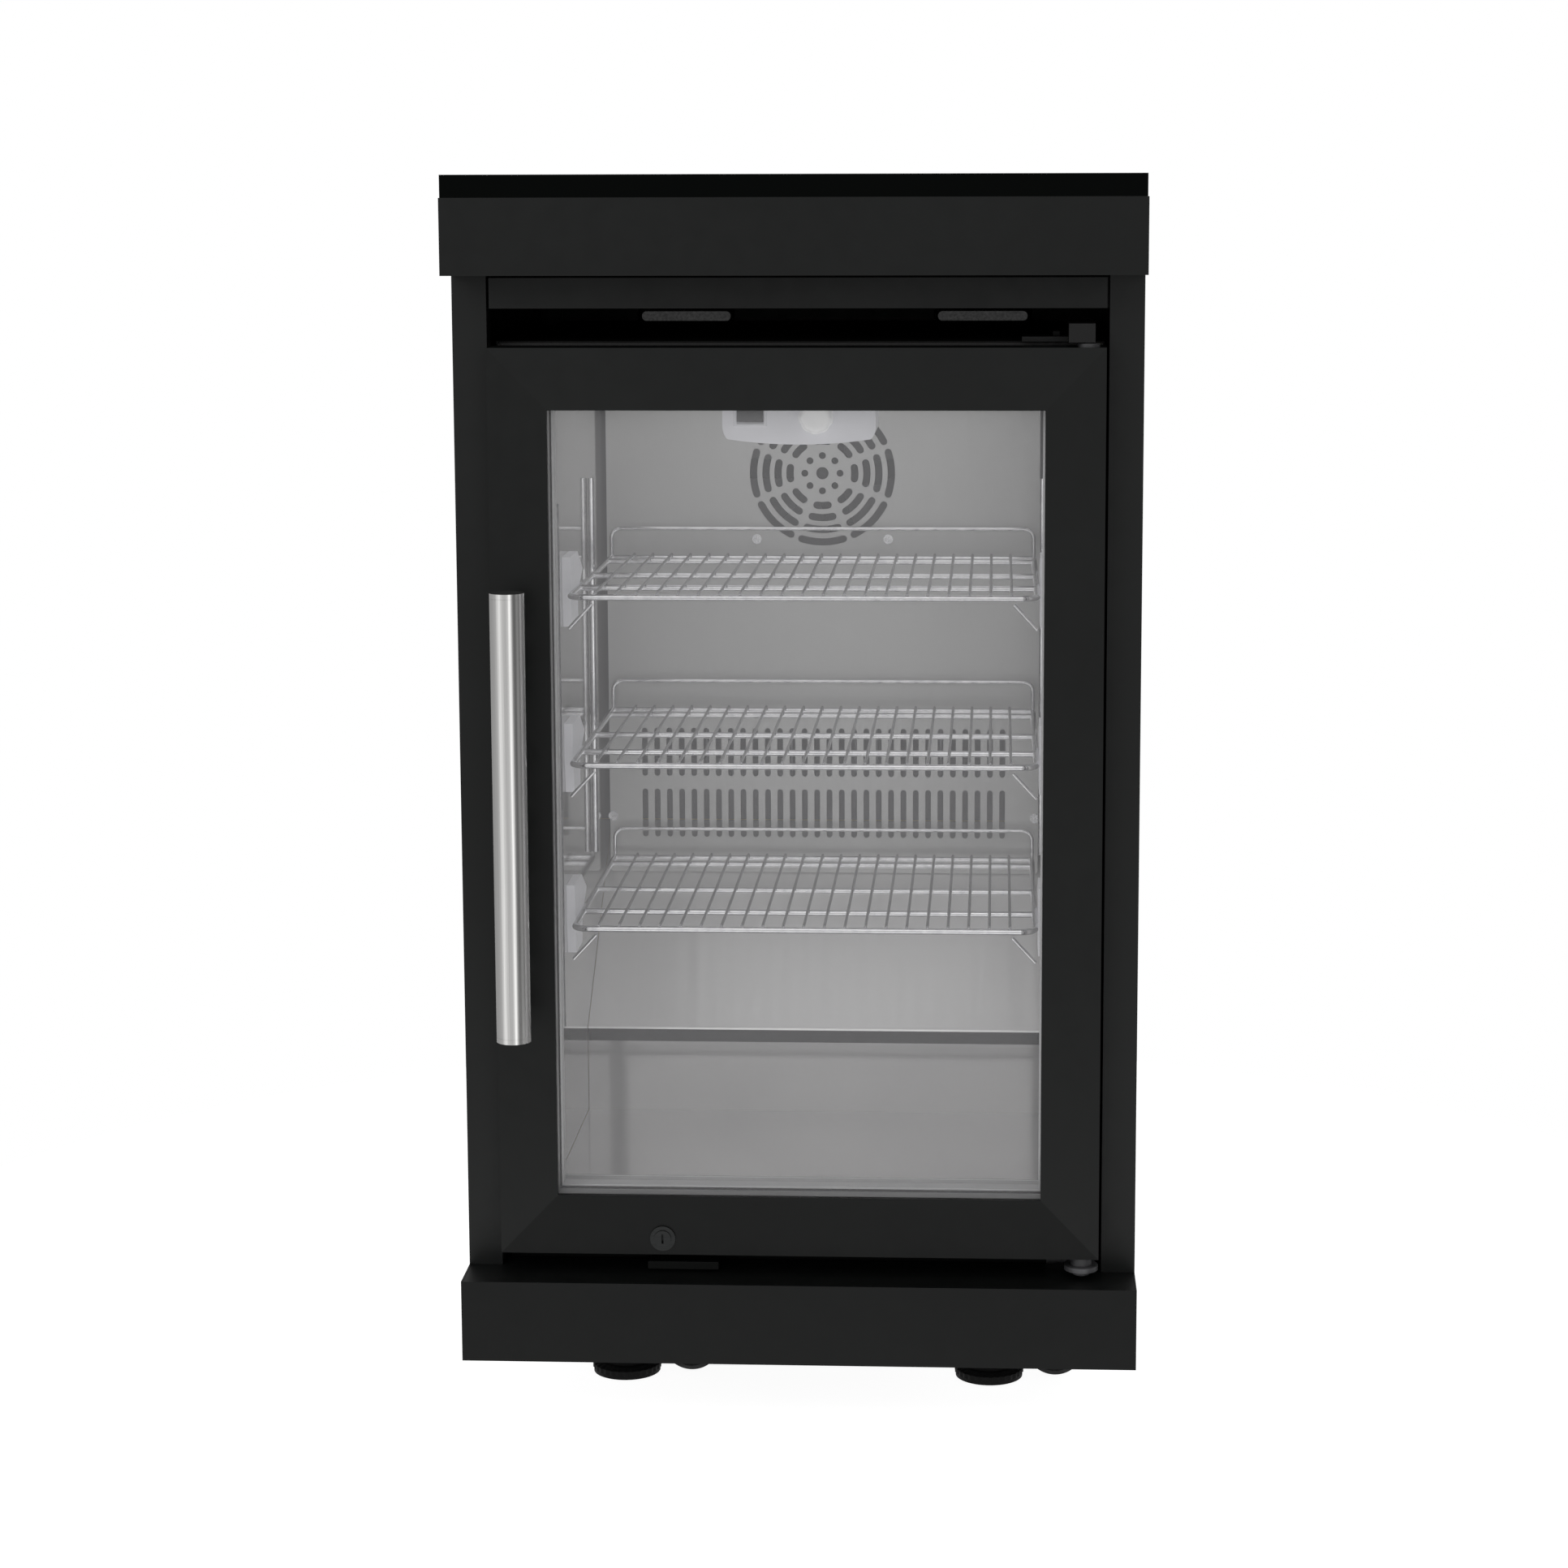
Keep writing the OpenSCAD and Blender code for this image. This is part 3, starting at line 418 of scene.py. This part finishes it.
def ring_grid(rings, closed_rings=False):
    """Faces between rings of equal length, each ring a closed loop of points."""
    count = len(rings[0])
    verts = [p for ring in rings for p in ring]
    faces = []
    for i in range(len(rings) if closed_rings else len(rings) - 1):
        a, b = i * count, (i + 1) % len(rings) * count
        for j in range(count):
            k = (j + 1) % count
            faces.append((a + j, a + k, b + k, b + j))
    return verts, faces


def capped(verts, faces, count):
    """Closes the first and last ring of a grid."""
    last = len(verts) - count
    return verts, faces + [tuple(reversed(range(count))), tuple(range(last, last + count))]


def frame_loop(name, box_x, box_z, profile, slot, body):
    """A mitred frame: a closed profile of (inset, y) points carried round a rectangle."""
    rings = []
    for inset, y in profile:
        x0, x1, z0, z1 = box_x[0] + inset, box_x[1] - inset, box_z[0] + inset, box_z[1] - inset
        rings.append([Vector((x, y, z)) for x, z in ((x0, z0), (x1, z0), (x1, z1), (x0, z1))])
    verts, faces = ring_grid(rings, closed_rings=True)
    return add_piece(name, verts, faces, slot, body, sharp=30.0)


def turned(name, centre, along, profile, slot, body, steps=48, wave=None, look=None, hollow=False):
    """A lathed piece: (distance along, radius) pairs round an axis, with an optional radius wave.

    A hollow piece is a ring with its axis left open, and any other is closed at both ends.
    """
    axis = Vector(along)
    side = axis.orthogonal().normalized()
    up = axis.cross(side)
    rings = []
    for distance, radius in profile:
        ring = []
        for i in range(steps):
            angle = 2 * math.pi * i / steps
            r = radius * (1 + wave(angle, radius)) if wave else radius
            out = side * math.cos(angle) + up * math.sin(angle)
            ring.append(Vector(centre) + axis * distance + out * r)
        rings.append(ring)
    if hollow:
        return add_piece(name, *ring_grid(rings, closed_rings=True), slot, body, look=look)
    return add_piece(name, *capped(*ring_grid(rings), steps), slot, body, look=look)


RISER_HEIGHT = 76 * MM


def hump_sheet():
    """The bent sheet over the compressor, with a smooth bend between riser and ramp."""
    low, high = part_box("liner_hump")
    bend, thick = 5 * MM, 0.8 * MM
    rise = high.z - low.z - RISER_HEIGHT
    slope = math.atan2(rise, high.y - low.y)
    lean = math.pi / 2 - slope
    centre = Vector((low.y + bend, low.z + RISER_HEIGHT - bend * math.tan(lean / 2)))
    steps = 28

    def side(radius, ends):
        curve = [ends[0]]
        for i in range(steps + 1):
            angle = math.pi - lean * i / steps
            curve.append((centre.x + radius * math.cos(angle), centre.y + radius * math.sin(angle)))
        return curve + [ends[1]]

    outer = side(bend, ((low.y, low.z), (high.y, high.z)))
    inner = side(bend - thick, ((low.y + thick, low.z), (high.y, high.z - thick / math.cos(slope))))
    section = outer + inner[::-1]
    rings = [[Vector((x, y, z)) for y, z in section] for x in (low.x, high.x)]
    verts, faces = ring_grid(rings)
    n = len(outer)
    for end in (0, len(section)):
        for i in range(n - 1):
            quad = (end + i, end + i + 1, end + 2 * n - 2 - i, end + 2 * n - 1 - i)
            faces.append(quad if end else quad[::-1])
    piece = add_piece("hump_sheet", verts, faces, "liner_steel", "cabinet", 50.0, HUMP_LOOK)
    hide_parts("liner_hump")


def hump_dark_band():
    """Dark strip across the front of the riser, just under the hump's bend."""
    low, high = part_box("liner_hump")
    top = low.z + RISER_HEIGHT - 1.4 * MM
    tall, deep = 10.6 * MM, 1.1 * MM
    strip = ((0.0, top), (0.5 * deep, top + 0.6 * MM), (deep, top - 0.8 * MM),
             (deep, top - tall + 0.8 * MM), (0.5 * deep, top - tall), (0.0, top - tall))
    rings = [[Vector((x, low.y - out, z)) for out, z in strip] for x in (low.x, high.x)]
    verts, faces = capped(*ring_grid(rings), len(strip))
    add_piece("hump_dark_band", verts, faces, "gasket_black", "cabinet")


def door_seal():
    """Magnetic door gasket: a flat lip, a bellows fold and a magnet bead."""
    low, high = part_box("door_gasket")
    deep = high.y - low.y
    lip = ((0.0, 0.0), (12.0, 0.0), (12.0, 0.18), (9.5, 0.3), (11.6, 0.45), (11.6, 0.92), (10.6, 1.0),
           (2.4, 1.0), (1.2, 0.92), (1.2, 0.62), (2.6, 0.5), (0.6, 0.34), (0.0, 0.16))
    profile = [(inset * MM, low.y + share * deep) for inset, share in lip]
    piece = frame_loop("door_seal", (low.x, high.x), (low.z, high.z), profile, "gasket_black", "door")
    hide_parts("door_gasket")


def glazing_bead():
    """Pale bead that holds the panes in from behind, right round the door's opening."""
    across = (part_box("door_stile_left")[1].x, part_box("door_stile_right")[0].x)
    upright = (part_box("door_rail_bottom")[1].z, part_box("door_rail_top")[0].z)
    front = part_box("glass_panes")[1].y + 0.2 * MM
    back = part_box("door_rail_bottom")[1].y - 1.5 * MM
    profile = ((-0.2 * MM, front), (1.6 * MM, front), (1.6 * MM, front + 1.2 * MM),
               (1.2 * MM, front + 1.8 * MM), (1.2 * MM, back - 1.0 * MM), (0.6 * MM, back),
               (-0.2 * MM, back))
    frame_loop("glazing_bead", across, upright, profile, "frame_grey", "door")


def switch_bezel():
    """Raised rim round the rocker's opening in the control box."""
    low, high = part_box("light_rocker")
    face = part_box("control_box")[0].y
    middle = (low + high) / 2
    half, rim, proud = 13.6 * MM, 2.6 * MM, 1.4 * MM
    profile = ((0.0, face + 0.2 * MM), (0.0, face - 0.6 * proud), (0.25 * rim, face - proud),
               (0.75 * rim, face - proud), (rim, face - 0.6 * proud), (rim, face + 0.2 * MM))
    frame_loop("switch_bezel", (middle.x - half, middle.x + half), (middle.z - half, middle.z + half),
               profile, "white_plastic", "cabinet")


def thermostat_dial():
    """Knob with a skirt, flutes for the fingers and a raised pointer."""
    low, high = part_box("thermostat_knob")
    radius = (high.x - low.x) / 2
    middle = (low + high) / 2
    front = low.y + 1.2 * MM
    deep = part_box("control_box")[0].y - 0.4 * MM - front

    def flutes(angle, r):
        return -0.05 * max(0.0, math.cos(9 * angle)) if r > 0.5 * radius else 0.0

    profile = ((0.0, 0.3 * radius), (-1.2 * MM, 0.62 * radius), (-0.7 * MM, 0.8 * radius),
               (0.0, 0.86 * radius), (1.0 * MM, 0.9 * radius), (deep - 2.6 * MM, 0.94 * radius),
               (deep - 2.2 * MM, radius), (deep, radius),
               (deep, 2.6 * MM), (deep + 13 * MM, 2.6 * MM))
    piece = turned("thermostat_dial", (middle.x, front, middle.z), (0, 1, 0), profile,
                   "white_plastic", "thermostat_knob", steps=108, wave=flutes, look=KNOB_LOOK)
    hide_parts("thermostat_knob")
    half, length = 0.8 * MM, 0.44 * radius
    rings = [[Vector((middle.x + sx * half * w, low.y + y, middle.z + 0.4 * radius + (length if sz else 0)))
              for sx, sz in ((-1, 0), (1, 0), (1, 1), (-1, 1))]
             for y, w in ((0.0, 0.6), (0.4 * MM, 1.0), (1.6 * MM, 1.0))]
    add_piece("dial_pointer", *capped(*ring_grid(rings), 4), "rocker_black", "thermostat_knob")


def hub_caps():
    """A stepped cap on both faces of every castor wheel."""
    for corner in ("front_left", "front_right", "rear_left", "rear_right"):
        low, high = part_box("castor_wheel_" + corner)
        middle = (low + high) / 2
        radius = (high.z - low.z) / 2
        for side in (-1, 1):
            face = Vector((middle.x, high.y if side > 0 else low.y, middle.z))
            profile = ((-0.6 * MM, 0.66 * radius), (0.2 * MM, 0.66 * radius),
                       (0.8 * MM, 0.6 * radius), (0.2 * MM, 0.5 * radius),
                       (0.2 * MM, 0.3 * radius), (0.8 * MM, 0.26 * radius),
                       (0.8 * MM, 0.19 * radius), (-0.6 * MM, 0.19 * radius))
            name = "hub_cap_{}_{}".format(corner, "outer" if side > 0 else "inner")
            turned(name, face, (0, side, 0), profile, "foot_black", "castor_wheel_" + corner, hollow=True)


def foot_grips():
    """A ribbed grip ring on every levelling foot."""
    low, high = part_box("levelling_feet")
    radius = 29 * MM

    def ribs(angle, r):
        return 0.018 * math.cos(30 * angle) if r > 0.8 * radius else 0.0

    for x, x_name in ((low.x + radius, "left"), (high.x - radius, "right")):
        for y, y_name in ((low.y + radius, "front"), (high.y - radius, "rear")):
            profile = ((2.6 * MM, 0.7 * radius), (2.6 * MM, 0.98 * radius),
                       (3.2 * MM, 1.012 * radius), (7.2 * MM, 1.012 * radius),
                       (8.6 * MM, 0.96 * radius), (9.4 * MM, 0.86 * radius), (9.6 * MM, 0.74 * radius))
            turned("foot_grip_{}_{}".format(y_name, x_name), (x, y, 0), (0, 0, 1), profile,
                   "foot_black", "cabinet", steps=240, wave=ribs)


def vent_shade_pads():
    """Thin dark pads on the inside of the back panel's vents, a dark sheet put there as painted shade."""
    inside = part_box("back_panel")[0].y
    half_wide, half_tall, soft = 47 * MM, 8.5 * MM, 3 * MM
    steps = 32
    look = vent_shade_cloth()

    def outline(x, y, z, inset):
        ring = []
        for i in range(steps):
            angle = 2 * math.pi * (i + 0.5) / steps
            along, up = math.cos(angle), math.sin(angle)
            corner_x = x + math.copysign(half_wide - soft, along)
            corner_z = z + math.copysign(half_tall - soft, up)
            ring.append(Vector((corner_x + (soft - inset) * along, y, corner_z + (soft - inset) * up)))
        return ring

    layers = ((0.2 * MM, 0.0), (1.6 * MM, 0.0), (2.2 * MM, 0.8 * MM))
    for column, x in (("left", -139 * MM), ("right", 147 * MM)):
        for row, z in enumerate((230 * MM, 260 * MM, 290 * MM, 900.4 * MM)):
            rings = [outline(x, inside - out, z, inset) for out, inset in layers]
            add_piece("vent_shade_pad_{}_{}".format(column, row), *capped(*ring_grid(rings), steps),
                      "inlet_black", "cabinet", look=look)


# ---------------------------------------------------------------- studio

def studio_world():
    """Even pale surroundings, with a room of soft boxes in what shiny surfaces mirror."""
    world = bpy.data.worlds.new("studio")
    bpy.context.scene.world = world
    world.use_nodes = True
    tree = world.node_tree
    tree.nodes.clear()

    def node(kind, **settings):
        made = tree.nodes.new(kind)
        for key, value in settings.items():
            setattr(made, key, value)
        return made

    def math_node(operation, a, b):
        made = node("ShaderNodeMath", operation=operation)
        for socket, value in zip(made.inputs, (a, b)):
            if isinstance(value, (int, float)):
                socket.default_value = value
            else:
                tree.links.new(value, socket)
        return made.outputs[0]

    def blend(factor, a, b):
        made = node("ShaderNodeMix", data_type="FLOAT")
        for socket, value in zip((made.inputs[0], made.inputs[2], made.inputs[3]), (factor, a, b)):
            if isinstance(value, (int, float)):
                socket.default_value = value
            else:
                tree.links.new(value, socket)
        return made.outputs[0]

    def step(value, low, high):
        made = node("ShaderNodeMapRange", interpolation_type="SMOOTHSTEP")
        made.inputs[1].default_value = low
        made.inputs[2].default_value = high
        tree.links.new(value, made.inputs[0])
        return made.outputs[0]

    split = node("ShaderNodeSeparateXYZ")
    tree.links.new(node("ShaderNodeTexCoord").outputs["Generated"], split.inputs[0])
    bearing = math_node("ARCTAN2", split.outputs["X"], math_node("MULTIPLY", split.outputs["Y"], -1.0))
    turn = math_node("ADD", math_node("MULTIPLY", bearing, 0.5 / math.pi), 0.5)
    ramp = node("ShaderNodeValToRGB")
    tree.links.new(turn, ramp.inputs[0])
    # Brightness of the room by bearing in degrees, from the front towards the right.
    room = ((-180, 0.3), (-125, 0.42), (-90, 0.5), (-70, 0.6), (-48, 1.25), (-30, 0.9),
            (-14, 0.66), (2, 0.66), (14, 0.85), (24, 1.75), (33, 1.1), (42, 0.32),
            (58, 0.12), (76, 0.36), (92, 0.22), (112, 0.18), (150, 0.2), (180, 0.3))
    elements = ramp.color_ramp.elements
    elements.remove(elements[1])
    for i, (degrees, value) in enumerate(room):
        place = (degrees + 180) / 360
        element = elements[0] if i == 0 else elements.new(place)
        element.position = place
        element.color = (value, value, value, 1.0)
    overhead = blend(step(split.outputs["Z"], 0.32, 0.62), ramp.outputs["Color"], 1.35)
    below = math_node("MULTIPLY", split.outputs["Z"], -1.0)
    mirrored = blend(step(below, 0.3, 0.6), overhead, 0.3)

    path = node("ShaderNodeLightPath")
    lit = blend(path.outputs["Is Glossy Ray"], 0.8, mirrored)
    seen = blend(path.outputs["Is Camera Ray"], lit, 1.0)
    background = node("ShaderNodeBackground")
    background.inputs["Color"].default_value = (1.0, 1.0, 1.0, 1.0)
    tree.links.new(seen, background.inputs["Strength"])
    tree.links.new(background.outputs[0], node("ShaderNodeOutputWorld").inputs["Surface"])


def studio_floor():
    """Plain pale floor that glows a little, so that it meets the white surroundings unseen."""
    bpy.ops.mesh.primitive_circle_add(vertices=96, radius=1.0, fill_type="NGON")
    floor = bpy.context.object
    floor.name = "studio_floor"
    s = Shader("studio_floor", (0.34, 0.34, 0.34), 0.8).specular(0.1)
    s.tint(s.noise(2.0), 0.3, 0.7, (0.33, 0.33, 0.33))
    s.bsdf.inputs["Emission Color"].default_value = (1.0, 1.0, 1.0, 1.0)
    s.bsdf.inputs["Emission Strength"].default_value = 0.94
    floor.data.materials.append(s.mat)
    floor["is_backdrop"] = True


def soft_light(name, place, size, power, aim):
    """A rectangular lamp at a place, turned towards a point."""
    light = bpy.data.lights.new(name, "AREA")
    light.shape = "RECTANGLE"
    light.size, light.size_y = size
    light.energy = power
    lamp = bpy.data.objects.new(name, light)
    bpy.context.collection.objects.link(lamp)
    lamp.location = place
    lamp.rotation_euler = (Vector(aim) - Vector(place)).to_track_quat("-Z", "Y").to_euler()


def studio_lamps():
    """A soft key light from the upper left, and the fridge's own light under its ceiling."""
    soft_light("key", (-1.6, -2.2, 2.3), (1.2, 1.6), 16.0, (0, 0, 0.6))
    low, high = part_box("liner_ceiling")
    y = (low.y + high.y) / 2 + 20 * MM
    soft_light("chamber_glow", (0, y, low.z - 4 * MM), (0.36, 0.3), 0.19, (0, y, 0))


def studio_camera():
    """Camera level with the worktop, right of the middle, tipped down and turned to the object."""
    low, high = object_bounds()
    data = bpy.data.cameras.new("camera")
    data.lens = 77.0
    data.sensor_width = 36.0
    data.shift_x = -0.03
    data.shift_y = -0.06
    camera = bpy.data.objects.new("camera", data)
    bpy.context.collection.objects.link(camera)
    camera.location = (0.1612, low.y - 2.621, high.z - 0.0176)
    turn_left = math.radians(2.843)
    tip_down = math.radians(8.371)
    roll = math.radians(-0.148)
    aim = Vector((-math.sin(turn_left) * math.cos(tip_down),
                  math.cos(turn_left) * math.cos(tip_down), -math.sin(tip_down)))
    look = aim.to_track_quat("-Z", "Y").to_matrix().to_4x4()
    camera.rotation_mode = "QUATERNION"
    camera.rotation_quaternion = (look @ Matrix.Rotation(roll, 4, "Z")).to_quaternion()
    bpy.context.scene.camera = camera


dress_cad_nodes()
hump_sheet()
hump_dark_band()
door_seal()
glazing_bead()
switch_bezel()
thermostat_dial()
hub_caps()
foot_grips()
vent_shade_pads()
studio_world()
studio_floor()
studio_lamps()
studio_camera()
bpy.context.scene.view_settings.view_transform = "Standard"
